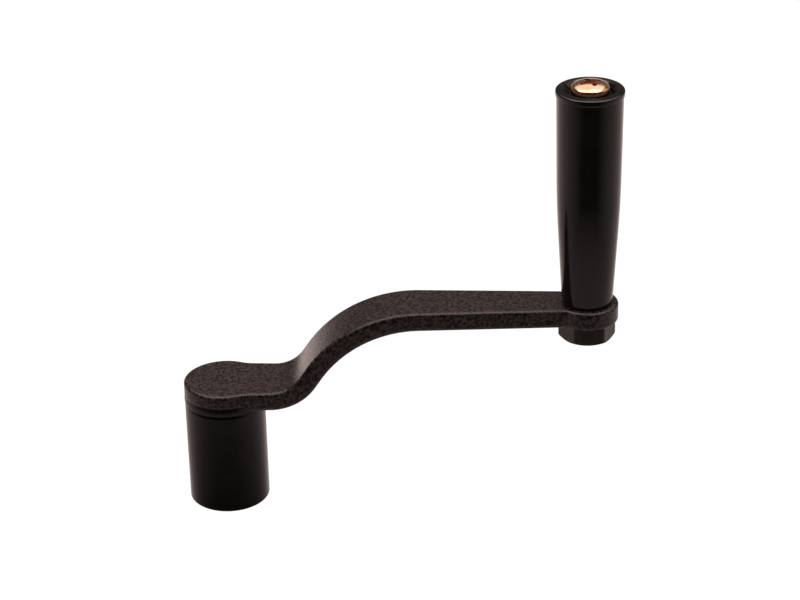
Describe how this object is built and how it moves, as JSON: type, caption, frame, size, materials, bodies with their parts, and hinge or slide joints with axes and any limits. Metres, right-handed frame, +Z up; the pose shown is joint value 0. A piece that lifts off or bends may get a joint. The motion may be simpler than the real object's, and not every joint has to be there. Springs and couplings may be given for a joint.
{
  "type": "crank handle",
  "caption": "Offset crank handle: an S-bent tapered flat arm with a round bored socket under one end and a free-turning tapered grip on the other.",
  "frame": {"origin": "centre of the socket's open mouth, on the socket's axis, which is the axis the crank turns about", "axes": "+Z up along the socket's axis towards the arm, and the way the grip stands; +X from the socket's axis towards the grip's axis; the arm is symmetric about the XZ plane"},
  "size_m": [0.1376, 0.0256, 0.141],
  "materials": {
    "textured_black_coat": "fine-textured black powder coat",
    "satin_black_coat": "satin black powder coat",
    "black_oxide": "black oxide, oiled",
    "black_plastic": "moulded, semi-gloss black",
    "yellow_zinc": "yellow zinc plate, bright"
  },
  "bodies": {
    "crank": {"arm": "textured_black_coat", "weld_bead": "satin_black_coat", "hub": "satin_black_coat", "set_screw": "black_oxide", "spindle": "black_oxide", "grip_screw": "yellow_zinc"},
    "turning_grip": {"grip": "black_plastic"}
  },
  "joints": [
    {"name": "grip_spin", "type": "hinge", "parent": "crank", "child": "turning_grip", "pos_m": [0.1143, 0, 0.06845], "axis": [0, 0, 1], "continuous": true}
  ]
}
